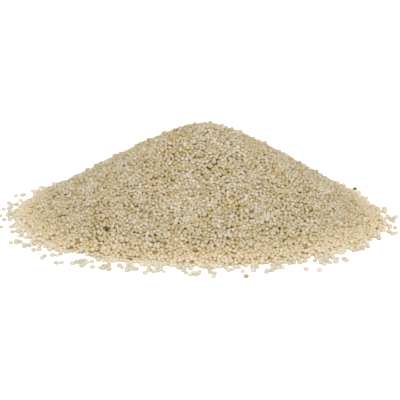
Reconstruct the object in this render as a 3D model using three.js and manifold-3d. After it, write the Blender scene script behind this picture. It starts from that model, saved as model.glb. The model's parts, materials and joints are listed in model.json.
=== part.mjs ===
// A heap of white poppy seeds, lying as it was poured, with the seeds that rolled clear of it.
// Millimetres, +Z up. The heap lies on z = 0 and its summit stands over the origin.
// Bearings are in degrees, counterclockwise from +X as seen from above; the front is at 270.

import * as THREE from "three";
import { mergeVertices } from "three/addons/utils/BufferGeometryUtils.js";
import Module from "manifold-3d";

// The heap
const HEAP_HEIGHT = 20.6;
const REPOSE_SLOPE = 0.582; // fall over run on the flanks: dry seeds settle at about 30 degrees
const CROWN_ROUNDING = 6.8; // how far the blunt summit reaches before the flanks run straight
const TOE_SOFTNESS = 0.9; // how gently the flanks run out at the foot
const TOE_HEIGHT = 0.5; // the heap ends where it is about half a seed thick

// The slope changes round the heap by these shares, for one to six waves round it
const SLOPE_WAVES = [
  { cosine: 0.029, sine: 0.002 },
  { cosine: 0.031, sine: 0.007 },
  { cosine: 0.014, sine: 0.022 },
  { cosine: 0.011, sine: 0.011 },
  { cosine: -0.002, sine: 0.003 },
  { cosine: 0.003, sine: 0.008 },
];

// The seed-sized bumps of the heap's surface
const RING_COUNT = 34;
const SECTORS = 6; // each ring has one more corner to a sector than the last, about one to a seed
const BUMP_DEPTH = 0.8; // each corner lies up to this far below the smooth surface
const BUMP_SHIFT = 0.28; // and this far off its place in its ring
const FOOT_SHIFT = 0.45; // the ragged foot line
const SECTOR_ANGLE = (2 * Math.PI) / SECTORS;
const HEXAGON_SHARE = 0.6; // how far out the underside's flat hexagon reaches

// One seed: a small kidney
const SEED_LENGTH = 1.2;
const SEED_WIDTH = 1.0;
const SEED_THICKNESS = 0.85;
const SEED_VARIATION = 0.1; // each seed is larger or smaller by up to this share
const NOTCH_DEPTH = 0.25; // share of the half width
const SEED_SIDES = 6;
const SEED_BANDS = 4;

// Whole seeds that stand out of the heap
const FLANK_SEED_COUNT = 44;
const FLANK_SEED_TILT = 35; // degrees off the slope
const FLANK_SEED_SINK = 0.28; // how far its middle lies below the smooth surface
const FLANK_SEED_SPREAD = 0.94; // share of the foot's radius that they cover
const FRINGE_SEED_COUNT = 84;
const FRINGE_REACH = 0.7; // how far past the foot line the middle of a fringe seed may lie
const FLOOR_CLEARANCE = 0.02; // keeps a fringe seed's lowest corner just inside the flat underside
const GOLDEN_ANGLE = Math.PI * (3 - Math.sqrt(5));

// The loose seeds lie in drifts: each has a bearing, a reach past the foot line and a seed count
const LOOSE_SEED_GAP = 0.3;
const DRIFT_RADIUS = 0.95; // for one seed; it grows with the root of the count
const DRIFT_GROWTH = 1.01; // and by this at each draw, so that every seed finds room
const DRIFTS = [
  { bearing: 161, reach: 3.1, seeds: 2 },
  { bearing: 171, reach: 2.4, seeds: 2 },
  { bearing: 177, reach: 2.9, seeds: 2 },
  { bearing: 182, reach: 2.3, seeds: 3 },
  { bearing: 187, reach: 2.7, seeds: 2 },
  { bearing: 195, reach: 2.7, seeds: 2 },
  { bearing: 201, reach: 2.0, seeds: 1 },
  { bearing: 211, reach: 3.3, seeds: 2 },
  { bearing: 216, reach: 3.5, seeds: 1 },
  { bearing: 220, reach: 3.2, seeds: 1 },
  { bearing: 227, reach: 3.9, seeds: 3 },
  { bearing: 232.5, reach: 6.5, seeds: 1 },
  { bearing: 237, reach: 5.4, seeds: 3 },
  { bearing: 243, reach: 4.9, seeds: 2 },
  { bearing: 250, reach: 4.0, seeds: 2 },
  { bearing: 257, reach: 5.3, seeds: 3 },
  { bearing: 264, reach: 3.8, seeds: 2 },
  { bearing: 268, reach: 5.6, seeds: 1 },
  { bearing: 272, reach: 6.6, seeds: 1 },
  { bearing: 276, reach: 2.3, seeds: 1 },
  { bearing: 279.5, reach: 7.0, seeds: 1 },
  { bearing: 281, reach: 3.6, seeds: 2 },
  { bearing: 285, reach: 4.9, seeds: 1 },
  { bearing: 289, reach: 2.8, seeds: 1 },
  { bearing: 295, reach: 5.8, seeds: 1 },
  { bearing: 297.5, reach: 7.5, seeds: 1 },
  { bearing: 302, reach: 4.5, seeds: 2 },
  { bearing: 307, reach: 3.9, seeds: 2 },
  { bearing: 338, reach: 2.7, seeds: 1 },
  { bearing: 343, reach: 1.9, seeds: 1 },
  { bearing: 354, reach: 2.6, seeds: 2 },
  { bearing: 3, reach: 1.6, seeds: 1 },
  { bearing: 83, reach: 2.9, seeds: 1 },
  { bearing: 118, reach: 3.9, seeds: 1 },
];
const OCHRE_BEARING = 279.5; // the one loose seed that is plainly darker than the rest

const RANDOM_SEED = 17;
const random = THREE.MathUtils.seededRandom;
const eitherWay = (most) => most * (2 * random() - 1);

const wasm = await Module();
wasm.setup();

function seedMaterial(color, roughness) {
  return new THREE.MeshStandardMaterial({ color, roughness, metalness: 0 });
}

const heapFinish = seedMaterial(0xc1b08f, 0.75);
const looseFinish = seedMaterial(0xd6c8a6, 0.6);
const ochreFinish = seedMaterial(0xb9924f, 0.6);

function slopeToward(angle) {
  const share = SLOPE_WAVES.reduce((sum, wave, k) => {
    const turn = (k + 1) * angle;
    return sum + wave.cosine * Math.cos(turn) + wave.sine * Math.sin(turn);
  }, 1);
  return REPOSE_SLOPE * share;
}

// The height of the heap's surface: a blunt cone whose foot runs out softly.
function surfaceHeight(radius, angle) {
  const run = Math.hypot(radius, CROWN_ROUNDING) - CROWN_ROUNDING;
  const cone = HEAP_HEIGHT - slopeToward(angle) * run;
  return TOE_SOFTNESS * Math.log1p(Math.exp(cone / TOE_SOFTNESS));
}

// The radius where the surface comes down to the toe's height, which solves surfaceHeight for it.
function footRadius(angle) {
  const cone = TOE_SOFTNESS * Math.log(Math.expm1(TOE_HEIGHT / TOE_SOFTNESS));
  const run = (HEAP_HEIGHT - cone) / slopeToward(angle);
  return Math.sqrt(run * (run + 2 * CROWN_ROUNDING));
}

function pointAt(radius, angle, height) {
  return new THREE.Vector3(radius * Math.cos(angle), radius * Math.sin(angle), height);
}

// A corner of the bumpy surface; the outermost ring is the foot line, on the surface below.
function surfaceCorner(ring, step) {
  if (ring === 0) return pointAt(0, 0, HEAP_HEIGHT);
  const spacing = footRadius(0) / RING_COUNT;
  const angle = SECTOR_ANGLE * ((step + eitherWay(BUMP_SHIFT / spacing)) / ring);
  const middle = (footRadius(angle) * ring) / RING_COUNT;
  if (ring === RING_COUNT) return pointAt(middle + eitherWay(FOOT_SHIFT), angle, 0);
  const radius = middle + eitherWay(BUMP_SHIFT);
  const height = surfaceHeight(radius, angle) - random() * BUMP_DEPTH;
  return pointAt(radius, angle, Math.max(height, TOE_HEIGHT / 2));
}

// The top is made of rings in sectors, and each ring is joined to the last by a row of triangles.
function topFaces() {
  const faces = [];
  for (let ring = 1; ring <= RING_COUNT; ring++) {
    for (let sector = 0; sector < SECTORS; sector++) {
      for (let i = 0; i < ring; i++) {
        const inner = cornerOf(ring - 1, sector * (ring - 1) + i);
        const outer = cornerOf(ring, sector * ring + i);
        const nextOuter = cornerOf(ring, sector * ring + i + 1);
        faces.push(inner, outer, nextOuter);
        if (i < ring - 1) {
          faces.push(inner, nextOuter, cornerOf(ring - 1, sector * (ring - 1) + i + 1));
        }
      }
    }
  }
  return faces;
}

// The flat underside: a hexagon with a fan from each of its corners out to the foot line.
function undersideFaces(hexagon) {
  const faces = [];
  for (let sector = 0; sector < SECTORS; sector++) {
    for (let i = 0; i < RING_COUNT; i++) {
      const along = sector * RING_COUNT + i;
      faces.push(hexagon[sector], cornerOf(RING_COUNT, along + 1), cornerOf(RING_COUNT, along));
    }
    const next = (sector + 1) % SECTORS;
    faces.push(hexagon[sector], hexagon[next], cornerOf(RING_COUNT, (sector + 1) * RING_COUNT));
  }
  for (const start of [0, 2, 4]) {
    faces.push(hexagon[start], hexagon[(start + 2) % SECTORS], hexagon[start + 1]);
  }
  faces.push(hexagon[0], hexagon[4], hexagon[2]);
  return faces;
}

// The corners of the rings inside this one come first, one of them the summit.
function cornerOf(ring, step) {
  if (ring === 0) return 0;
  return 1 + (SECTORS * ring * (ring - 1)) / 2 + (step % (SECTORS * ring));
}

function coreShape() {
  const corners = [surfaceCorner(0, 0)];
  for (let ring = 1; ring <= RING_COUNT; ring++) {
    for (let step = 0; step < SECTORS * ring; step++) {
      corners.push(surfaceCorner(ring, step));
    }
  }
  const hexagon = [];
  for (let sector = 0; sector < SECTORS; sector++) {
    const angle = (sector + 0.5) * SECTOR_ANGLE;
    hexagon.push(corners.length);
    corners.push(pointAt(footRadius(angle) * HEXAGON_SHARE, angle, 0));
  }
  const shape = new THREE.BufferGeometry().setFromPoints(corners);
  shape.setIndex([...topFaces(), ...undersideFaces(hexagon)]);
  return shape;
}

// One seed about its own middle: longest along X, notched at +Y, flattest along Z.
function seedShape() {
  const shape = new THREE.SphereGeometry(1, SEED_SIDES, SEED_BANDS);
  shape.rotateX(Math.PI / 2);
  shape.rotateZ(Math.PI / SEED_SIDES);
  const place = shape.attributes.position;
  for (let i = 0; i < place.count; i++) {
    const x = place.getX(i);
    const y = place.getY(i);
    const facingNotch = Math.max(0, y - Math.abs(x));
    place.setY(i, y - NOTCH_DEPTH * facingNotch);
  }
  shape.computeBoundingBox();
  const size = shape.boundingBox.getSize(new THREE.Vector3());
  const scale = 1 + eitherWay(SEED_VARIATION);
  shape.center();
  shape.scale(
    (SEED_LENGTH * scale) / size.x,
    (SEED_WIDTH * scale) / size.y,
    (SEED_THICKNESS * scale) / size.z,
  );
  return shape;
}

function halfThickness(shape) {
  shape.computeBoundingBox();
  return shape.boundingBox.max.z;
}

// A whole seed half sunk in the slope at this place, turned at random and tilted off the slope.
function flankSeed(radius, angle) {
  const slope = Math.atan(slopeToward(angle));
  const tilt = THREE.MathUtils.degToRad(FLANK_SEED_TILT);
  const lean = new THREE.Euler(eitherWay(tilt), slope + eitherWay(tilt), angle, "ZYX");
  const shape = seedShape();
  shape.rotateZ(random() * 2 * Math.PI);
  shape.applyMatrix4(new THREE.Matrix4().makeRotationFromEuler(lean));
  const at = pointAt(radius, angle, surfaceHeight(radius, angle) - FLANK_SEED_SINK);
  return shape.translate(at.x, at.y, at.z);
}

// Seeds spread evenly over the flanks by the golden angle.
function flankSeeds() {
  const seeds = [];
  for (let i = 0; i < FLANK_SEED_COUNT; i++) {
    const angle = i * GOLDEN_ANGLE;
    const share = Math.sqrt((i + 0.5) / FLANK_SEED_COUNT);
    seeds.push(flankSeed(footRadius(angle) * share * FLANK_SEED_SPREAD, angle));
  }
  return seeds;
}

// Seeds lying flat along the foot, partly out of the heap, clear of the loose ones.
function fringeSeeds(looseSeats) {
  const seeds = [];
  for (let i = 0; i < FRINGE_SEED_COUNT; i++) {
    const angle = i * GOLDEN_ANGLE;
    const shape = seedShape();
    const radius = footRadius(angle) + random() * FRINGE_REACH;
    const at = pointAt(radius, angle, halfThickness(shape) + FLOOR_CLEARANCE);
    shape.rotateZ(random() * 2 * Math.PI);
    if (looseSeats.every((seat) => isClear(seat, at))) {
      seeds.push(shape.translate(at.x, at.y, at.z));
    }
  }
  return seeds;
}

// Two seeds can't touch whichever way they are turned once their middles are this far apart.
function isClear(one, other) {
  const apart = SEED_LENGTH * (1 + SEED_VARIATION) + LOOSE_SEED_GAP;
  return Math.hypot(one.x - other.x, one.y - other.y) >= apart;
}

function clearOfHeap(place) {
  const angle = Math.atan2(place.y, place.x);
  const nearest = FOOT_SHIFT + (SEED_LENGTH * (1 + SEED_VARIATION)) / 2 + LOOSE_SEED_GAP;
  return Math.hypot(place.x, place.y) >= footRadius(angle) + nearest;
}

// The middles of the loose seeds: a drift's seeds are drawn in its disc, clear of all others.
function looseSeedSeats() {
  const seats = [];
  for (const drift of DRIFTS) {
    const bearing = THREE.MathUtils.degToRad(drift.bearing);
    const middle = pointAt(footRadius(bearing) + drift.reach, bearing, 0);
    let disc = drift.seeds > 1 ? DRIFT_RADIUS * Math.sqrt(drift.seeds) : 0;
    for (let placed = 0; placed < drift.seeds; disc *= DRIFT_GROWTH) {
      const seat = pointAt(disc * Math.sqrt(random()), random() * 2 * Math.PI, 0).add(middle);
      if (!clearOfHeap(seat) || !seats.every((other) => isClear(seat, other))) continue;
      seats.push(Object.assign(seat, { ochre: drift.bearing === OCHRE_BEARING }));
      placed++;
    }
  }
  return seats;
}

function solidOf(shape) {
  shape.deleteAttribute("normal");
  shape.deleteAttribute("uv");
  const merged = mergeVertices(shape);
  return new wasm.Manifold(
    new wasm.Mesh({
      numProp: 3,
      vertProperties: new Float32Array(merged.attributes.position.array),
      triVerts: new Uint32Array(merged.index.array),
    }),
  );
}

function geometryOf(solid) {
  const made = solid.getMesh();
  return new THREE.BufferGeometry()
    .setAttribute("position", new THREE.BufferAttribute(made.vertProperties, 3))
    .setIndex(new THREE.BufferAttribute(made.triVerts, 1));
}

function namedMesh(name, shape, finish) {
  const mesh = new THREE.Mesh(shape, finish);
  mesh.name = name;
  return mesh;
}

// The core with its whole seeds fused on; only its largest body is kept, so sealed gaps fill up.
function heap(looseSeats) {
  const core = solidOf(coreShape());
  const whole = [...flankSeeds(), ...fringeSeeds(looseSeats)].map(solidOf);
  const joined = whole.reduce((sum, seed) => sum.add(seed), core);
  const bodies = joined.decompose().sort((a, b) => b.volume() - a.volume());
  return namedMesh("heap", geometryOf(bodies[0]), heapFinish);
}

// A loose seed lying on its flat side.
function looseSeed(seat, number) {
  const shape = seedShape();
  const finish = seat.ochre ? ochreFinish : looseFinish;
  const mesh = namedMesh("loose_seed_" + String(number).padStart(2, "0"), shape, finish);
  mesh.position.set(seat.x, seat.y, halfThickness(shape));
  mesh.rotation.z = random() * 2 * Math.PI;
  return mesh;
}

random(RANDOM_SEED);
const looseSeats = looseSeedSeats();

const group = new THREE.Group();
group.add(heap(looseSeats));
looseSeats.forEach((seat, i) => group.add(looseSeed(seat, i + 1)));

export default group;
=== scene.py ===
import json
import math
from itertools import product

import bpy
import numpy as np
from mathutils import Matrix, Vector
from mathutils.bvhtree import BVHTree


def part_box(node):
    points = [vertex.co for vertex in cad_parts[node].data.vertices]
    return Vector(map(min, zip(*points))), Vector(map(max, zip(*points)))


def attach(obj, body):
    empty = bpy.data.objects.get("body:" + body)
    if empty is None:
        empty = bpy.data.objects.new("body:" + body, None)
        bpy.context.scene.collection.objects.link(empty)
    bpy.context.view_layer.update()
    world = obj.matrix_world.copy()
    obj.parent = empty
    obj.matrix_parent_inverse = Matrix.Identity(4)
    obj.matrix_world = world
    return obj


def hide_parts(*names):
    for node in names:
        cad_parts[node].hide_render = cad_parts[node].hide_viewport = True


# A heap of white poppy seeds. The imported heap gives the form, and seeds of true size lie over it.
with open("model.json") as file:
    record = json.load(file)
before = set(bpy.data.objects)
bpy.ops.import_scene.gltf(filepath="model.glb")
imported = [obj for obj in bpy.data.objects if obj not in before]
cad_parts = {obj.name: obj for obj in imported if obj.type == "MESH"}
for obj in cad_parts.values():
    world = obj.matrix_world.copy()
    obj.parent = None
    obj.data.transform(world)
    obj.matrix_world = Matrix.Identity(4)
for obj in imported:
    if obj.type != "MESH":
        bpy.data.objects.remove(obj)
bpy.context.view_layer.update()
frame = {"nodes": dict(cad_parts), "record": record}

mm = 0.001
chance = np.random.default_rng(3)  # every draw outside the node trees, so each run is the same
print("frame loaded:", len(frame["nodes"]), "nodes")


# A node's socket. Each operator, from either side of it, adds a Math node to its tree.
class Wire:
    def __init__(self, nodes, socket):
        self.nodes = nodes
        self.socket = socket

    def output(self, name):
        return Wire(self.nodes, self.socket.node.outputs[name])

    def math(self, operation, *values):
        return self.nodes.add("ShaderNodeMath", {"operation": operation}, dict(enumerate(values)))

    def __add__(self, other):
        return self.math("ADD", self, other)

    def __sub__(self, other):
        return self.math("SUBTRACT", self, other)

    def __rsub__(self, other):
        return self.math("SUBTRACT", other, self)

    def __mul__(self, other):
        return self.math("MULTIPLY", self, other)

    def __truediv__(self, other):
        return self.math("DIVIDE", self, other)

    def __rtruediv__(self, other):
        return self.math("DIVIDE", other, self)

    def __mod__(self, other):
        return self.math("FLOORED_MODULO", self, other)

    def __abs__(self):
        return self.math("ABSOLUTE", self)

    def atLeast(self, other):
        return self.math("MAXIMUM", self, other)

    def above(self, other):
        return self.math("GREATER_THAN", self, other)

    def clamped(self):
        return self.math("MAXIMUM", self.math("MINIMUM", self, 1.0), 0.0)

    def root(self):
        return self.math("SQRT", self)

    def floor(self):
        return self.math("FLOOR", self)

    __radd__ = __add__
    __rmul__ = __mul__


# Adds nodes to one tree: the type, its settings, and the values or wires of its sockets.
class Nodes:
    def __init__(self, tree):
        self.tree = tree

    def add(self, kind, settings=None, inputs=None, output=0):
        node = self.tree.nodes.new(kind)
        for name, value in (settings or {}).items():
            if name == "stops":
                self.setStops(node.color_ramp, value)
            else:
                setattr(node, name, value)
        for name, value in (inputs or {}).items():
            socket = self.socketOf(node.inputs, name)
            if isinstance(value, Wire):
                self.tree.links.new(value.socket, socket)
            else:
                socket.default_value = value
        return Wire(self, self.socketOf(node.outputs, output)) if node.outputs else None

    def socketOf(self, sockets, name):
        if isinstance(name, int):
            return sockets[name]
        return next(socket for socket in sockets if socket.name == name and socket.enabled)

    def setStops(self, ramp, stops):
        while len(ramp.elements) < len(stops):
            ramp.elements.new(1)
        for element, (place, color) in zip(ramp.elements, stops):
            element.position = place
            element.color = color

    def mixed(self, share, first, second):
        return self.add("ShaderNodeMix", {"data_type": "RGBA"}, {
            "Factor": share, "A": first, "B": second,
        }, output="Result")

    def vector(self, operation, inputs, output="Vector"):
        return self.add("ShaderNodeVectorMath", {"operation": operation}, inputs, output)

    def read(self, name, kind):
        return self.add("GeometryNodeInputNamedAttribute", {"data_type": kind}, {"Name": name}, "Attribute")

    def store(self, geometry, name, kind, domain, value):
        return self.add("GeometryNodeStoreNamedAttribute", {"data_type": kind, "domain": domain}, {
            "Geometry": geometry, "Name": name, "Value": value,
        })


# The nodes of a material or a world, emptied first.
def emptied(owner):
    owner.use_nodes = True
    owner.node_tree.nodes.clear()
    return Nodes(owner.node_tree)


# A Geometry Nodes tree with named inputs and one geometry output.
def newTree(name, inputs):
    tree = bpy.data.node_groups.new(name, "GeometryNodeTree")
    for inputName, kind in inputs.items():
        tree.interface.new_socket(inputName, in_out="INPUT", socket_type="NodeSocket" + kind)
    tree.interface.new_socket("Result", in_out="OUTPUT", socket_type="NodeSocketGeometry")
    return Nodes(tree), Nodes(tree).add("NodeGroupInput")


def newObject(name, data):
    made = bpy.data.objects.new(name, data)
    bpy.context.scene.collection.objects.link(made)
    return made


def newMesh(name, corners, faces=()):
    mesh = bpy.data.meshes.new(name)
    mesh.from_pydata([tuple(corner) for corner in corners], [], faces)
    return mesh


# Runs a tree on a mesh and gives the result as a plain object with no modifier.
def runTree(nodes, name, mesh, settings):
    source = newObject(name + "_source", mesh)
    modifier = source.modifiers.new(name, "NODES")
    modifier.node_group = nodes.tree
    for item in nodes.tree.interface.items_tree:
        if item.name in settings:
            modifier[item.identifier] = settings[item.name]
    graph = bpy.context.evaluated_depsgraph_get()
    made = bpy.data.meshes.new_from_object(
        source.evaluated_get(graph), preserve_all_data_layers=True, depsgraph=graph
    )
    source.modifiers.remove(modifier)
    bpy.data.objects.remove(source)
    made.name = name
    return newObject(name, made)


# The camera, at the photo's viewing angle
camera = {
    "distance": 450 * mm,
    "elevation": math.radians(15.2),
    "aim": Vector((-1.12, 0.827, 3.045)) * mm,
    "lens": 181,
    "sensor": 36,
    "clip": (10 * mm, 10.0),  # the nearest and the farthest that it sees
    "pixels": 400,  # the photo's width and height
}


def makeCamera():
    data = bpy.data.cameras.new("camera")
    data.lens = camera["lens"]
    data.sensor_width = camera["sensor"]
    data.clip_start, data.clip_end = camera["clip"]
    made = newObject("camera", data)
    rise = camera["elevation"]
    made.location = Vector((0, -math.cos(rise), math.sin(rise))) * camera["distance"]
    made.rotation_euler = (camera["aim"] - made.location).to_track_quat("-Z", "Y").to_euler()
    bpy.context.scene.camera = made
    bpy.context.view_layer.update()
    return made


# The direction in which the camera sees this pixel of the photo.
def rayThrough(pixel):
    middle = camera["pixels"] / 2
    depth = camera["pixels"] * camera["lens"] / camera["sensor"]
    ray = Vector((pixel[0] - middle, middle - pixel[1], -depth))
    return (cameraObject.matrix_world.to_3x3() @ ray).normalized()


cameraObject = makeCamera()
print("camera placed")


# The lie of the heap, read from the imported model
heapForm = {
    "step": 0.5 * mm,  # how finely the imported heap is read
    "margin": 4,  # steps past its foot
    "smoothing": 1.0 * mm,  # takes out the bumps of its facets
    "leastCover": 0.05,  # where less than this share of the smoothing is heap, the height runs out
    "footBins": 120,  # bearings at which the foot line is read
    "bays": {  # where it then runs further in or out: bearing, swing and half width
        "on the left": (math.radians(233), -2.6 * mm, math.radians(5)),
        "left of the middle": (math.radians(254), 2.4 * mm, math.radians(4)),
    },
}


# A grid smoothed by a bell curve of this width, in cells.
def blurred(grid, width):
    reach = int(3 * width) + 1  # the curve has run out by there
    kernel = np.exp(-0.5 * (np.arange(-reach, reach + 1) / width) ** 2)
    kernel /= kernel.sum()
    for axis in (0, 1):
        grid = np.apply_along_axis(np.convolve, axis, grid, kernel, mode="same")
    return grid


# The bearing of each spot from the heap's middle, and its distance.
def polar(spots):
    return np.arctan2(spots[:, 1], spots[:, 0]), np.hypot(spots[:, 0], spots[:, 1])


# Heights on a square grid, smoothed, with the slopes and the foot line's radius by bearing.
class HeapForm:
    def __init__(self, node):
        self.step = heapForm["step"]
        low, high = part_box(node)
        self.corner = np.array([low.x, low.y]) - heapForm["margin"] * self.step
        counts = ((np.array([high.x, high.y]) - self.corner) / self.step).astype(int)
        mesh = frame["nodes"][node].data
        tree = BVHTree.FromPolygons(
            [vertex.co for vertex in mesh.vertices], [face.vertices for face in mesh.polygons]
        )
        heights = np.zeros(counts + heapForm["margin"] + 1)
        for i, j in product(*map(range, heights.shape)):
            x, y = self.corner + self.step * np.array([i, j])
            hit = tree.ray_cast(Vector((x, y, 2 * high.z)), Vector((0, 0, -1)))[0]
            heights[i, j] = hit.z if hit else 0
        width = heapForm["smoothing"] / self.step
        covered = blurred((heights > 0).astype(float), width)
        self.height = blurred(heights, width) / np.maximum(covered, heapForm["leastCover"])
        self.slopes = np.gradient(self.height, self.step)
        self.readFoot(mesh)

    def readFoot(self, mesh):
        bearing, radius = polar(np.array([vertex.co for vertex in mesh.vertices]))
        bins = heapForm["footBins"]
        index = (bearing % math.tau / math.tau * bins).astype(int) % bins
        self.footRadius = np.array([radius[index == k].max() for k in range(bins)])
        self.bearings = (np.arange(bins) + 0.5) / bins * math.tau
        for middle, swing, halfWidth in heapForm["bays"].values():
            self.footRadius += swing * np.exp(-(((self.bearings - middle) / halfWidth) ** 2))

    # A grid's value at each spot, blended from the four cells round it.
    def at(self, grid, spots):
        place = (spots[:, :2] - self.corner) / self.step
        place = np.clip(place, 0, np.array(grid.shape) - 1.001)  # a hair inside the last cell
        low = place.astype(int)
        share = place - low
        i, j = low[:, 0], low[:, 1]
        u, v = share[:, 0], share[:, 1]
        near = grid[i, j] * (1 - u) + grid[i + 1, j] * u
        far = grid[i, j + 1] * (1 - u) + grid[i + 1, j + 1] * u
        return near * (1 - v) + far * v

    def heightAt(self, spots):
        return self.at(self.height, spots)

    def normalAt(self, spots):
        normal = np.stack([-self.at(slope, spots) for slope in self.slopes] + [np.ones(len(spots))], 1)
        return normal / np.linalg.norm(normal, axis=1, keepdims=True)

    def footAt(self, bearing):
        return np.interp(bearing, self.bearings, self.footRadius, period=math.tau)


form = HeapForm("heap")
print("heap form read:", form.height.shape, "heights")


# A colour as a screen shows it, turned into linear light.
def shade(red, green, blue):
    linear = [((v / 255 + 0.055) / 1.055) ** 2.4 for v in (red, green, blue)]
    return (*linear, 1)


seedCoat = {
    "netCell": 0.12 * mm,  # the fine net that covers a poppy seed
    "netDepth": 0.012 * mm,
    "mottleSize": 0.5 * mm,
    "mottleShare": 0.25,
    "hilumShare": 0.2,  # how far the notch darkens
    "hilum": shade(150, 122, 70),
    "deepShadeShare": 0.8,  # painted shade: the lower seeds are coloured warmer and darker, in place of the light that reaches them only through others
    "deep": shade(189, 158, 70),
    "deepStart": -0.15 * mm,
    "deepReach": 0.6 * mm,
    "sideShadeShare": 0.5,  # painted shade too, on the sides of each seed, where less light comes between neighbours
    "patchSize": 4.6 * mm,  # here and there a patch is more golden
    "patchShare": 1.0,
    "goldShare": 0.9,
    "gold": shade(226, 196, 132),
    "toeLightShare": 0.62,  # painted light: the white floor shining through the heap's thin edge is coloured into the seeds
    "toe": shade(248, 222, 156),
    "edge": shade(252, 246, 232),  # painted light that pales it at the very foot
    "toeGlowShare": 0.07,  # painted glow: some of that light comes out between the seeds there, as emission
    "toeReach": 5 * mm,  # where the heap is as thick as this, it has no more effect
    "roughness": 0.5,
    "roughnessSpread": 0.12,
    "specular": 0.4,
    "glow": 0.4,  # how much light goes through the seed's flesh
    "glowReach": 0.3 * mm,
    "glowColors": (1.0, 0.85, 0.6),  # red goes furthest
}


# The coat of a seed: its own tint from the ramp, mottled, darker in the notch and finely netted, with
# painted shade where it lies deep or faces sideways and painted light and glow at the heap's foot.
# A mark that a mesh doesn't have reads 0, as the tint, notch and outward marks do on the core.
def seedMaterial(name, colors, toeLightShare):
    material = bpy.data.materials.new(name)
    nodes = emptied(material)
    place = nodes.add("ShaderNodeTexCoord", output="Object")

    def marked(mark):
        return nodes.add("ShaderNodeAttribute", {"attribute_name": mark}, output="Fac")

    def noise(size, detail):
        return nodes.add("ShaderNodeTexNoise", {}, {"Vector": place, "Scale": 1 / size, "Detail": detail})

    toe = marked("toe")
    mottle = noise(seedCoat["mottleSize"], 2.0)
    golden = (noise(seedCoat["patchSize"], 1.0) - 0.5) * seedCoat["patchShare"]
    spread = marked("tint") + (mottle - 0.5) * seedCoat["mottleShare"] - golden
    stops = [(k / (len(colors) - 1), color) for k, color in enumerate(colors)]
    ramp = nodes.add("ShaderNodeValToRGB", {"stops": stops}, {"Fac": spread})
    notched = nodes.mixed(marked("hilum") * seedCoat["hilumShare"], ramp, seedCoat["hilum"])
    gilded = nodes.mixed((golden * seedCoat["goldShare"]).clamped(), notched, seedCoat["gold"])
    # Painted light at the foot: the colour of the floor's light through the thin edge, paler at the very
    # foot.
    thin = nodes.mixed(toe * toe, seedCoat["toe"], seedCoat["edge"])
    footLit = nodes.mixed(toe * toeLightShare, gilded, thin)
    # Painted shade: what lies deep under the surface or faces sideways takes the warm darker colour, as do
    # the golden patches; none at the foot.
    sunk = (marked("sunk") - seedCoat["deepStart"]) / seedCoat["deepReach"]
    sideShade = (1 - marked("outward")) * seedCoat["sideShadeShare"]
    deep = (sunk + sideShade + golden).clamped() * (1 - toe)
    coat = nodes.mixed(deep * seedCoat["deepShadeShare"], footLit, seedCoat["deep"])

    black = (0, 0, 0, 1)
    # Painted glow at the foot, given out as emission though the seeds are no lamp.
    shine = nodes.mixed(toe * (toeLightShare * seedCoat["toeGlowShare"]), black, seedCoat["edge"])
    net = nodes.add("ShaderNodeTexVoronoi", {"feature": "DISTANCE_TO_EDGE"}, {
        "Vector": place, "Scale": 1 / seedCoat["netCell"],
    })
    bump = nodes.add("ShaderNodeBump", {}, {
        "Height": net, "Strength": 1.0, "Distance": seedCoat["netDepth"],
    })
    shader = nodes.add("ShaderNodeBsdfPrincipled", {}, {
        "Base Color": coat,
        "Emission Color": shine,
        "Emission Strength": 1.0,
        "Roughness": mottle * seedCoat["roughnessSpread"] + seedCoat["roughness"],
        "Specular IOR Level": seedCoat["specular"],
        "Subsurface Weight": seedCoat["glow"],
        "Subsurface Radius": seedCoat["glowColors"],
        "Subsurface Scale": seedCoat["glowReach"],
        "Normal": bump,
    })
    nodes.add("ShaderNodeOutputMaterial", {}, {"Surface": shader})
    return material


# Marks how far each corner lies below the heap's surface and how thin the heap is there: the masks of the
# painted shade and of the painted light at the foot.
def markPlace(mesh):
    spots = np.zeros(3 * len(mesh.vertices), np.float32)
    mesh.vertices.foreach_get("co", spots)
    spots = spots.reshape(-1, 3)
    height = form.heightAt(spots)
    marks = {
        "sunk": (height - spots[:, 2]) * form.normalAt(spots)[:, 2],
        "toe": (1 - height / seedCoat["toeReach"]).clip(0, 1) ** 2,
    }
    for name, values in marks.items():
        attribute = mesh.attributes.new(name, "FLOAT", "POINT")
        attribute.data.foreach_set("value", values.astype(np.float32))


# The core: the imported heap's form, sunk under the seeds, with relief of their size
heapCore = {
    "rings": 96,
    "sectors": 6,
    "sink": 1.1 * mm,  # below the middles of the top seeds
    "footInset": 3.2 * mm,
    "thinnest": 0.1 * mm,  # inside the rim
    "pitch": 1.0 * mm,
    "relief": 0.3 * mm,
    "domeFall": 2,  # how steeply the bumps fall from their middles
    # darker and warmer than the seeds: painted shade of the deep gaps where the core shows
    "colors": [shade(176, 142, 80), shade(198, 168, 104)],
}


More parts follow.
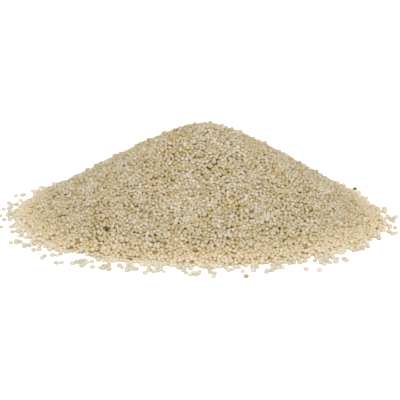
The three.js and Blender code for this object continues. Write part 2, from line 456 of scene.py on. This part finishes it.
# A disc of rings, each with one more corner to the sector, closed by one flat face underneath.
def coreMesh():
    rings, sectors = heapCore["rings"], heapCore["sectors"]
    corners = [(0.0, 0.0)]
    for ring in range(1, rings + 1):
        for step in range(sectors * ring):
            corners.append((ring / rings, step / (sectors * ring) * math.tau))
    share, bearing = np.array(corners).T
    radius = share * (form.footAt(bearing) - heapCore["footInset"])
    spots = np.stack([radius * np.cos(bearing), radius * np.sin(bearing), 0 * radius], 1)
    spots[:, 2] = np.maximum(form.heightAt(spots) - heapCore["sink"], heapCore["thinnest"])
    spots[share == 1, 2] = 0  # the rim lies on the floor

    def cornerOf(ring, step):
        if ring == 0:
            return 0
        return 1 + sectors * ring * (ring - 1) // 2 + step % (sectors * ring)

    faces = []
    for ring, sector in product(range(1, rings + 1), range(sectors)):
        for i in range(ring):
            inner = cornerOf(ring - 1, sector * (ring - 1) + i)
            outer = cornerOf(ring, sector * ring + i)
            nextOuter = cornerOf(ring, sector * ring + i + 1)
            faces.append((inner, outer, nextOuter))
            if i < ring - 1:
                faces.append((inner, nextOuter, cornerOf(ring - 1, sector * (ring - 1) + i + 1)))
    faces.append([cornerOf(rings, step) for step in reversed(range(sectors * rings))])
    return newMesh("heap_core", spots, faces)


# Raises a dome over each Voronoi cell, so that the core has bumps of the seeds' size.
def coreTree():
    nodes, given = newTree("coreRelief", {
        "Core": "Geometry", "Pitch": "Float", "Relief": "Float", "Finish": "Material",
    })
    position = nodes.add("GeometryNodeInputPosition")
    height = nodes.add("ShaderNodeSeparateXYZ", {}, {0: position}, output="Z")
    onTop = height.above(heapCore["thinnest"] / 2)
    cells = nodes.add("ShaderNodeTexVoronoi", {"feature": "F1"}, {
        "Vector": position, "Scale": 1 / given.output("Pitch"),
    }, output="Distance")
    fall = cells * cells * heapCore["domeFall"]
    dome = (1 - fall).atLeast(0).root() * given.output("Relief") * onTop
    raised = nodes.add("GeometryNodeSetPosition", {}, {
        "Geometry": given.output("Core"),
        "Offset": nodes.vector("SCALE", {0: nodes.add("GeometryNodeInputNormal"), "Scale": dome}),
    })
    smooth = nodes.add("GeometryNodeSetShadeSmooth", {}, {0: raised})
    finished = nodes.add("GeometryNodeSetMaterial", {}, {
        "Geometry": smooth, "Material": given.output("Finish"),
    })
    nodes.add("NodeGroupOutput", {}, {0: finished})
    return nodes


def makeCore():
    piece = runTree(coreTree(), "heap_core", coreMesh(), {
        "Pitch": heapCore["pitch"],
        "Relief": heapCore["relief"],
        "Finish": seedMaterial("core_seeds", heapCore["colors"], seedCoat["toeLightShare"]),
    })
    markPlace(piece.data)
    return piece


# A seed, and where the heap's seeds lie
seed = {
    "length": 1.2 * mm,
    "width": 0.98 * mm,
    "thickness": 0.83 * mm,
    "variation": 0.14,  # each is larger or smaller by up to this share
    "notch": 0.25,  # share of the half width
    "sides": 8,
    "bands": 4,
    "mapMargin": 0.05,  # left free round each seed's own cell of the bake map
}
heapSeeds = {
    "girth": 0.87 * mm,  # how near two middles may come
    "layer": 1.0 * mm,  # how deep the middles of the shown seeds lie
    "crowding": 1.0,  # seeds to a square of one girth in a single layer
    "depthCrowding": 1.25,  # and to each girth of depth
    "rise": (-0.19 * mm, 0.22 * mm),  # each seed's own limit above or below the surface
    "perched": 0.1,  # share of seeds that stick out from between the others
    "perch": (0.2 * mm, 0.6 * mm),
    "ragged": (-0.8 * mm, 0.5 * mm),  # and past the foot line
    "footWaves": {19: 0.3 * mm, 37: 0.5 * mm, 61: 0.5 * mm, 97: 0.35 * mm},  # waves round it
    "thinning": 0.45,  # share of seeds missing at the very foot
    "thinReach": 2.8 * mm,
    "rounds": 90,
    "pairRounds": 3,  # rounds from one search for close pairs to the next
    "pairReach": 1.3,  # girths within which a pair is close
    "push": 0.35,  # share of an overlap that a round takes out on each side
    "tilt": math.radians(39.6),
    "floorTilt": math.radians(3.3),  # of those whose middles lie lower than floorReach
    "floorReach": 0.6 * seed["thickness"],
    "behindRims": {  # these lie behind the heap and show past its outline, at these pixels
        "highest on the left": (54, 183),
        "next on the left": (41, 187),
        "left of those": (33, 191),
        "at the left end": (20, 200),
        "above it": (22, 195),
        "dark, on the right": (355, 189),
        "beside the dark one": (359, 192),
        "at the right end": (378, 208),
    },
    "clearance": 0.9 * mm,  # round each of those
}


# Pairs of spots nearer than reach, found by sorting the spots into cubes of that size.
def closePairs(spots, reach):
    cube = np.floor(spots / reach).astype(np.int64)
    cube -= cube.min(0) - 1
    row = 4096  # more cubes than any row holds
    strides = np.array([1, row, row * row])
    key = cube @ strides
    order = np.argsort(key, kind="stable")
    ranked = key[order]
    ones, others = [], []
    for step in product((-1, 0, 1), repeat=3):
        wanted = key + np.array(step) @ strides
        first = np.searchsorted(ranked, wanted, "left")
        count = np.searchsorted(ranked, wanted, "right") - first
        one = np.repeat(np.arange(len(spots)), count)
        rank = np.arange(count.sum()) - np.repeat(np.cumsum(count) - count, count)
        other = order[np.repeat(first, count) + rank]
        keep = one < other
        ones.append(one[keep])
        others.append(other[keep])
    one, other = np.concatenate(ones), np.concatenate(others)
    near = np.linalg.norm(spots[one] - spots[other], axis=1) < reach
    return one[near], other[near]


# Draws spots in the heap's outer layer, as many to a place as its depth holds.
def drawSpots():
    cells = np.array(list(product(*map(range, form.height.shape))))
    spots = form.corner + form.step * cells
    bearing, radius = polar(spots)
    inside = radius < form.footAt(bearing)
    height = form.heightAt(spots)
    lean = form.normalAt(spots)[:, 2]
    depth = np.minimum((height - seed["thickness"] / 2).clip(0) * lean, heapSeeds["layer"])
    layers = heapSeeds["crowding"] + heapSeeds["depthCrowding"] * depth / heapSeeds["girth"]
    expected = inside * layers / lean * (form.step / heapSeeds["girth"]) ** 2
    chosen = chance.choice(len(cells), int(expected.sum()), p=expected / expected.sum())
    spots = spots[chosen] + form.step * (chance.random((len(chosen), 2)) - 0.5)
    drop = chance.random(len(chosen)) * depth[chosen] / lean[chosen]
    return np.column_stack([spots, form.heightAt(spots) - drop])


# Keeps every spot on the floor, inside the foot line and within its layer of the surface.
def hold(spots, rise, ragged, halfHeight):
    bearing, radius = polar(spots)
    limit = form.footAt(bearing) + ragged
    spots[:, :2] *= np.minimum(1, limit / np.maximum(radius, limit / 2))[:, None]
    normal = form.normalAt(spots)
    above = (spots[:, 2] - form.heightAt(spots)) * normal[:, 2]
    shift = np.clip(above, rise - heapSeeds["layer"], rise) - above
    spots += normal * shift[:, None]
    spots[:, 2] = np.maximum(spots[:, 2], halfHeight)
    return spots


# How far the foot line swings out or in at each bearing.
def footWave(bearing):
    return sum(
        height * np.sin(waves * bearing + math.tau * chance.random())
        for waves, height in heapSeeds["footWaves"].items()
    )


# Pushes overlapping seeds apart until they lie as a poured heap's do.
def settle(spots, girth, halfHeight):
    hair = 0.001 * mm  # so that two seeds on one spot don't divide by zero
    rise = chance.uniform(*heapSeeds["rise"], len(spots))
    isPerched = chance.random(len(spots)) < heapSeeds["perched"]
    rise += isPerched * chance.uniform(*heapSeeds["perch"], len(spots))
    ragged = chance.uniform(*heapSeeds["ragged"], len(spots)) + footWave(polar(spots)[0])
    for turn in range(heapSeeds["rounds"]):
        if turn % heapSeeds["pairRounds"] == 0:
            one, other = closePairs(spots, heapSeeds["pairReach"] * heapSeeds["girth"])
        gap = spots[other] - spots[one]
        apart = np.linalg.norm(gap, axis=1) + hair
        overlap = np.maximum(0, (girth[one] + girth[other]) / 2 - apart)
        push = gap * (heapSeeds["push"] * overlap / apart)[:, None]
        for axis in range(3):
            spots[:, axis] += np.bincount(other, push[:, axis], len(spots))
            spots[:, axis] -= np.bincount(one, push[:, axis], len(spots))
        spots = hold(spots, rise, ragged, halfHeight)
    return spots


# The place of a seed that lies on the floor and shows at this pixel.
def floorSpot(pixel):
    start = cameraObject.location
    ray = rayThrough(pixel)
    reach = (start.z - seed["thickness"] / 2) / -ray.z
    return np.array(start + reach * ray)


# A direction tipped from each given one by a random lean.
def tipped(facing, lean):
    tip = facing + np.tan(lean)[:, None] * chance.normal(size=facing.shape)
    return tip / np.linalg.norm(tip, axis=1, keepdims=True)


def drawGrowth(count):
    return 1 + seed["variation"] * (2 * chance.random(count) - 1)


def layHeapSeeds():
    spots = drawSpots()
    growth = drawGrowth(len(spots))
    spots = settle(spots, growth * heapSeeds["girth"], growth * seed["thickness"] / 2)
    bearing, radius = polar(spots)
    inward = form.footAt(bearing) - radius
    missing = heapSeeds["thinning"] * (1 - inward / heapSeeds["thinReach"]).clip(0, 1)
    kept = chance.random(len(spots)) > missing
    behind = np.array([floorSpot(pixel) for pixel in heapSeeds["behindRims"].values()])
    for spot in behind:
        kept &= np.linalg.norm(spots - spot, axis=1) > heapSeeds["clearance"]
    spots = np.vstack([spots[kept], behind])
    growth = np.concatenate([growth[kept], np.ones(len(behind))])
    onFloor = spots[:, 2] < heapSeeds["floorReach"]
    upward = np.where(onFloor[:, None], [0, 0, 1], form.normalAt(spots))
    return {
        "spot": spots,
        "upward": upward,
        "facing": tipped(upward, np.where(onFloor, heapSeeds["floorTilt"], heapSeeds["tilt"])),
        "heading": math.tau * chance.random(len(spots)),
        "growth": growth,
    }


# Where the loose seeds lie
looseSeeds = {
    "strays": 30,  # more seeds along the foot line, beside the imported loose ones
    "strayBearings": [math.radians(turn) for turn in (150, 175, 200, 225, 250, 275, 300, 330, 350)],
    "straySpread": math.radians(16),
    "strayStart": 0.3 * mm,
    "strayMean": 0.5 * mm,
    "mates": 80,  # and next to all of these, so that they lie in clumps
    "mateReach": (0.98 * mm, 1.3 * mm),
    "mateSpread": math.radians(40),  # off the way to the heap, so that the clumps reach back to it
    "matesToRight": 0.35,  # share by which the right has more of them
    "clearance": 0.93 * mm,  # from one loose seed's middle to any other seed's
    "tilt": math.radians(3),
    # the loose seeds' share of the painted foot light
    "toeLightShare": 0.3,
    "colors": [shade(206, 194, 167), shade(220, 210, 185), shade(231, 222, 202)],
    "ochreColors": [shade(196, 170, 112), shade(212, 188, 134)],
}


# A packed loose seed's spot, heading and size; the notch is on the side that its corners crowd.
def packedSeed(node):
    corners = np.array([vertex.co for vertex in node.data.vertices])[:, :2]
    middle = (corners.min(0) + corners.max(0)) / 2
    plan = corners - corners.mean(0)
    along = np.linalg.eigh(plan.T @ plan)[1][:, 1]
    across = plan @ np.array([-along[1], along[0]])
    if (across**3).sum() > 0:
        along = -along
    reach = plan @ along
    growth = (reach.max() - reach.min()) / seed["length"]
    return middle, math.atan2(along[1], along[0]), growth


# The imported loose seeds, then strays along the foot line, then mates beside any but the lonely one.
def layLooseSeeds(heap, names, lonely):
    spots, turns, sizes = zip(*(packedSeed(frame["nodes"][name]) for name in names))
    taken = list(spots)
    low = heap["spot"][heap["spot"][:, 2] < seed["thickness"], :2]

    def toward(bearing):
        return np.array([math.cos(bearing), math.sin(bearing)])

    def isFree(spot):
        others = np.vstack([taken, low])
        return np.hypot(*(others - spot).T).min() > looseSeeds["clearance"]

    def isOutside(spot):
        start = form.footAt(math.atan2(spot[1], spot[0])) + looseSeeds["strayStart"] / 2
        return math.hypot(*spot) > start

    def straySpot():
        bearing = chance.choice(looseSeeds["strayBearings"]) + chance.normal() * looseSeeds["straySpread"]
        radius = form.footAt(bearing) + looseSeeds["strayStart"]
        radius += chance.exponential(looseSeeds["strayMean"])
        return radius * toward(bearing)

    def mateSpot():
        lean = looseSeeds["matesToRight"] * np.array([spot[0] / math.hypot(*spot) for spot in taken])
        share = (1 + lean) * (np.arange(len(taken)) != lonely)
        home = taken[chance.choice(len(taken), p=share / share.sum())]
        bearing = math.atan2(-home[1], -home[0]) + chance.normal() * looseSeeds["mateSpread"]
        reach = chance.uniform(*looseSeeds["mateReach"])
        return home + reach * toward(bearing)

    for draw, count in ((straySpot, looseSeeds["strays"]), (mateSpot, looseSeeds["mates"])):
        goal = len(taken) + count
        while len(taken) < goal:
            spot = draw()
            if isOutside(spot) and isFree(spot):
                taken.append(spot)

    added = len(taken) - len(names)
    growth = np.concatenate([sizes, drawGrowth(added)])
    heading = np.concatenate([turns, math.tau * chance.random(added)])
    upward = np.tile([0.0, 0.0, 1.0], (len(taken), 1))
    leaning = tipped(upward[len(names):], np.full(added, looseSeeds["tilt"]))
    return {
        "spot": np.column_stack([np.array(taken), growth * seed["thickness"] / 2]),
        "upward": upward,
        "facing": np.vstack([upward[:len(names)], leaning]),
        "heading": heading,
        "growth": growth,
    }


# A unit sphere pressed into a kidney, with its bake map and a mark that grows towards the notch.
def kidney(nodes, given):
    sphere = nodes.add("GeometryNodeMeshUVSphere", {}, {
        "Segments": given.output("Sides"), "Rings": given.output("Bands"), "Radius": 1.0,
    })
    mapped = nodes.store(sphere, "OFBake", "FLOAT2", "CORNER", sphere.output("UV Map"))
    x = nodes.add("ShaderNodeSeparateXYZ", {}, {0: nodes.add("GeometryNodeInputPosition")})
    y, z = x.output("Y"), x.output("Z")
    notch = given.output("Notch")
    facingNotch = (y - abs(x)).atLeast(0)
    notched = (y - facingNotch * notch + notch / 2) / (1 - notch / 2)
    shaped = nodes.add("GeometryNodeSetPosition", {}, {
        "Geometry": nodes.store(mapped, "hilum", "FLOAT", "POINT", facingNotch),
        "Position": nodes.add("ShaderNodeCombineXYZ", {}, {
            "X": x * given.output("Length") / 2,
            "Y": notched * given.output("Width") / 2,
            "Z": z * given.output("Thickness") / 2,
        }),
    })
    return nodes.add("GeometryNodeSetShadeSmooth", {}, {0: shaped})


# The spots, each with a tint and with the column and row of its cell in the bake map.
def tintedSpots(nodes, given):
    number = nodes.add("GeometryNodeInputIndex")
    tint = nodes.add("FunctionNodeRandomValue", {"data_type": "FLOAT"}, {
        "Seed": given.output("Tint seed"),
    }, output="Value")
    cell = nodes.add("ShaderNodeCombineXYZ", {}, {
        "X": number % given.output("Cells"),
        "Y": (number / given.output("Cells")).floor(),
    })
    tinted = nodes.store(given.output("Spots"), "tint", "FLOAT", "POINT", tint)
    return nodes.store(tinted, "cell", "FLOAT_VECTOR", "POINT", cell)


# The turn of a seed: upright along its facing, then round it by its heading.
def seedTurn(nodes):
    upright = nodes.add("FunctionNodeAlignRotationToVector", {"axis": "Z"}, {
        "Vector": nodes.read("facing", "FLOAT_VECTOR"),
    })
    turn = nodes.add("FunctionNodeEulerToRotation", {}, {
        0: nodes.add("ShaderNodeCombineXYZ", {}, {"Z": nodes.read("heading", "FLOAT")}),
    })
    return nodes.add("FunctionNodeRotateRotation", {"rotation_space": "LOCAL"}, {
        "Rotation": upright, "Rotate By": turn,
    })


# Shrinks each seed's map into its own cell of the bake map.
def mappedToCells(nodes, given, geometry):
    margin = seed["mapMargin"]
    inCell = nodes.vector("MULTIPLY_ADD", {
        0: nodes.read("OFBake", "FLOAT_VECTOR"),
        1: (1 - 2 * margin, 1 - 2 * margin, 0),
        2: (margin, margin, 0),
    })
    place = nodes.vector("ADD", {0: inCell, 1: nodes.read("cell", "FLOAT_VECTOR")})
    shrunk = nodes.vector("SCALE", {0: place, "Scale": 1 / given.output("Cells")})
    return nodes.store(geometry, "OFBake", "FLOAT2", "CORNER", shrunk)


# Sets a seed on every spot, and marks how far each corner faces out of the heap.
def seedTree():
    nodes, given = newTree("seedScatter", {
        "Spots": "Geometry", "Length": "Float", "Width": "Float", "Thickness": "Float",
        "Notch": "Float", "Sides": "Int", "Bands": "Int", "Cells": "Float", "Tint seed": "Int",
        "Finish": "Material",
    })
    scattered = nodes.add("GeometryNodeInstanceOnPoints", {}, {
        "Points": tintedSpots(nodes, given),
        "Instance": kidney(nodes, given),
        "Rotation": seedTurn(nodes),
        "Scale": nodes.read("growth", "FLOAT"),
    })
    outward = nodes.vector("DOT_PRODUCT", {
        0: nodes.add("GeometryNodeInputNormal"), 1: nodes.read("upward", "FLOAT_VECTOR"),
    }, output="Value")
    real = nodes.add("GeometryNodeRealizeInstances", {}, {0: scattered})
    turned = nodes.store(real, "outward", "FLOAT", "POINT", outward)
    finished = nodes.add("GeometryNodeSetMaterial", {}, {
        "Geometry": mappedToCells(nodes, given, turned), "Material": given.output("Finish"),
    })
    nodes.add("NodeGroupOutput", {}, {0: finished})
    return nodes


scatterTree = seedTree()


# One piece of seeds: those of the laid ones that are picked, with one finish.
def makeSeeds(name, laid, picked, colors, tintSeed, toeLightShare):
    mesh = newMesh(name + "_spots", laid["spot"][picked])
    for key, kind, slot in (
        ("upward", "FLOAT_VECTOR", "vector"), ("facing", "FLOAT_VECTOR", "vector"),
        ("heading", "FLOAT", "value"), ("growth", "FLOAT", "value"),
    ):
        attribute = mesh.attributes.new(key, kind, "POINT")
        attribute.data.foreach_set(slot, laid[key][picked].astype(np.float32).ravel())
    piece = runTree(scatterTree, name, mesh, {
        "Length": seed["length"],
        "Width": seed["width"],
        "Thickness": seed["thickness"],
        "Notch": seed["notch"],
        "Sides": seed["sides"],
        "Bands": seed["bands"],
        "Cells": float(math.ceil(math.sqrt(len(mesh.vertices)))),
        "Tint seed": tintSeed,
        "Finish": seedMaterial(name, colors, toeLightShare),
    })
    markPlace(piece.data)
    print(name + ":", len(mesh.vertices), "seeds,", len(piece.data.polygons), "faces")
    return piece


# Each plain kind's share of the heap and its colours, from the darker tint to the lighter
plainKinds = {
    "ivory_seeds": {"share": 0.21, "colors": [shade(219, 206, 179), shade(232, 221, 202)]},
    "pearl_seeds": {"share": 0.21, "colors": [shade(208, 197, 169), shade(221, 211, 189)]},
    "cream_seeds": {"share": 0.2, "colors": [shade(207, 194, 159), shade(222, 210, 182)]},
    "warm_seeds": {"share": 0.2, "colors": [shade(208, 186, 153), shade(224, 204, 177)]},
    "straw_seeds": {"share": 0.18, "colors": [shade(195, 175, 128), shade(213, 195, 154)]},
}

# The few seeds that stand out in the photo: their colours, and their pixels there
oddKinds = {
    "yellow_seeds": {
        "colors": [shade(224, 188, 92), shade(230, 204, 118)],
        "pixels": {
            "on the ridge": (188, 147),
            "low on the right": (357, 243),
        },
    },
    "rust_seeds": {
        "colors": [shade(172, 134, 66), shade(190, 153, 82)],
        "pixels": {
            "low on the left": (97, 239),
            "beside it": (79, 241),
            "at the left tip": (43, 212),
            "low at the front": (193, 250),
            "lower left of the middle": (155, 252),
            "at the lower right": (304, 247),
            "above it": (311, 241),
            "low on the right": (315, 223),
        },
    },
    "dark_seeds": {
        "colors": [shade(48, 34, 24), shade(82, 58, 38)],
        "pixels": {
            "on the left flank": (106, 230),
            "high on the left": (66, 195),
            "at the foot": (127, 259),
            "behind the right rim": (355, 189),
        },
    },
}
oddSeeds = {
    "sizes": {"on the left flank": 0.8, "high on the left": 0.75, "at the foot": 0.8},  # small ones
    "lift": 0.2 * mm,  # out of the heap, for those in the photo that don't lie on the floor
    "share": 0.0025,  # the far side has about as many, at random places
    "farSide": 0.2,  # it starts at this share of the foot line's least radius
    # the odd seeds' share of the painted foot light
    "toeLightShare": 0.1,
}


# The number of the seed that shows at this pixel, each taken as a flattened ball.
def seedAt(laid, pixel):
    across = (seed["length"] + seed["width"]) / 4 * laid["growth"]
    flatness = (seed["length"] + seed["width"]) / 2 / seed["thickness"]

    def stretched(vectors):
        along = (vectors * laid["facing"]).sum(1)
        return vectors + (flatness - 1) * along[:, None] * laid["facing"]

    offset = stretched(np.array(cameraObject.location) - laid["spot"])
    ray = stretched(np.tile(rayThrough(pixel), (len(offset), 1)))
    a, b = (ray * ray).sum(1), (ray * offset).sum(1)
    c = (offset * offset).sum(1) - across**2
    under = b * b - a * c  # where this is above 0, the ray goes through the seed
    reach = np.where(under > 0, (-b - np.sqrt(under.clip(0))) / a, np.inf)
    return int(np.argmin(reach))


# Makes a seed of the heap larger or smaller, and lifts it out a little if it isn't on the floor.
def setSize(heap, number, size):
    heap["growth"][number] *= size
    if heap["spot"][number, 2] > seed["thickness"]:
        lift = oddSeeds["lift"] + (1 - size) * seed["thickness"] / 2
        heap["spot"][number] += lift * heap["upward"][number]
    else:
        heap["spot"][number, 2] *= size


# Draws the kind of every seed of the heap, by its number, and finds the odd ones of the photo.
def drawKinds(heap, oddNumbers):
    count = len(heap["spot"])
    kindOf = chance.choice(len(plainKinds), count, p=[kind["share"] for kind in plainKinds.values()])
    farSide = heap["spot"][:, 1] > oddSeeds["farSide"] * form.footRadius.min()
    isOdd = farSide & (chance.random(count) < oddSeeds["share"])
    kindOf[isOdd] = chance.choice(oddNumbers, isOdd.sum())
    for number, kind in zip(oddNumbers, oddKinds.values()):
        for place, pixel in kind["pixels"].items():
            found = seedAt(heap, pixel)
            kindOf[found] = number
            setSize(heap, found, oddSeeds["sizes"].get(place, 1))
    return kindOf


def finishPiece(piece, slot, *nodes):
    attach(piece, "root")
    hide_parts(*nodes)


heap = layHeapSeeds()
print("heap seeds laid:", len(heap["spot"]))
looseNames = sorted(name for name in frame["nodes"] if name != "heap")
ochreName = next(
    part["node"] for part in frame["record"]["subparts"] if part["material_slot"] == "ochre_seeds"
)
loose = layLooseSeeds(heap, looseNames, looseNames.index(ochreName))
print("loose seeds laid:", len(loose["spot"]))

core = makeCore()
finishPiece(core, "heap_seeds", "heap")
print("core made:", len(core.data.polygons), "faces")

oddNumbers = range(len(plainKinds), len(plainKinds) + len(oddKinds))
kindOf = drawKinds(heap, oddNumbers)
for number, (name, kind) in enumerate(plainKinds.items()):
    piece = makeSeeds(name, heap, kindOf == number, kind["colors"], number, seedCoat["toeLightShare"])
    finishPiece(piece, "heap_seeds", "heap")
for number, (name, kind) in zip(oddNumbers, oddKinds.items()):
    piece = makeSeeds(name, heap, kindOf == number, kind["colors"], number, oddSeeds["toeLightShare"])
    finishPiece(piece, "ochre_seeds", "heap")

isOchre = np.arange(len(loose["spot"])) == looseNames.index(ochreName)
tintSeed = len(plainKinds)
piece = makeSeeds("loose_seeds", loose, ~isOchre, looseSeeds["colors"], tintSeed, looseSeeds["toeLightShare"])
finishPiece(piece, "loose_seeds", *(name for name in looseNames if name != ochreName))
piece = makeSeeds("ochre_seed", loose, isOchre, looseSeeds["ochreColors"], tintSeed, 0)
finishPiece(piece, "ochre_seeds", ochreName)


# The studio
studio = {
    "floorSize": 8.0,
    "floorColor": (0.9, 0.9, 0.9, 1),
    "floorGlow": 0.65,  # so that the camera sees it white
    "floorLight": 0.08,  # what it shines up at the heap
    "sky": 0.41,
    "backdrop": 1.05,  # the sky as the camera sees it
    "softbox": {"place": (0.06, -1.03, 1.23), "size": 1.0, "power": 15.5},
}


def makeFloor():
    half = studio["floorSize"] / 2
    corners = [(-half, -half, 0), (half, -half, 0), (half, half, 0), (-half, half, 0)]
    floor = newObject("floor", newMesh("floor", corners, [(0, 1, 2, 3)]))
    material = bpy.data.materials.new("floor")
    nodes = emptied(material)
    matt = nodes.add("ShaderNodeBsdfDiffuse", {}, {"Color": studio["floorColor"]})

    def shining(strength):
        shine = nodes.add("ShaderNodeEmission", {}, {"Strength": strength})
        return nodes.add("ShaderNodeAddShader", {}, {0: matt, 1: shine})

    seen = nodes.add("ShaderNodeLightPath", output="Is Camera Ray")
    surface = nodes.add("ShaderNodeMixShader", {}, {
        0: seen, 1: shining(studio["floorLight"]), 2: shining(studio["floorGlow"]),
    })
    nodes.add("ShaderNodeOutputMaterial", {}, {"Surface": surface})
    floor.data.materials.append(material)


# A white background for the camera, with a dimmer sky that lights the heap.
def makeSky():
    world = bpy.data.worlds.new("sky")
    bpy.context.scene.world = world
    nodes = emptied(world)
    seen = nodes.add("ShaderNodeLightPath", output="Is Camera Ray")
    sky = nodes.add("ShaderNodeBackground", {}, {
        "Color": (1, 1, 1, 1),
        "Strength": seen * (studio["backdrop"] - studio["sky"]) + studio["sky"],
    })
    nodes.add("ShaderNodeOutputWorld", {}, {"Surface": sky})


def makeSoftbox():
    box = studio["softbox"]
    data = bpy.data.lights.new("softbox", "AREA")
    data.size = box["size"]
    data.energy = box["power"]
    lamp = newObject("softbox", data)
    lamp.location = box["place"]
    lamp.rotation_euler = (-Vector(box["place"])).to_track_quat("-Z", "Y").to_euler()


makeFloor()
makeSky()
makeSoftbox()
bpy.context.scene.view_settings.view_transform = "Standard"
print("studio made")
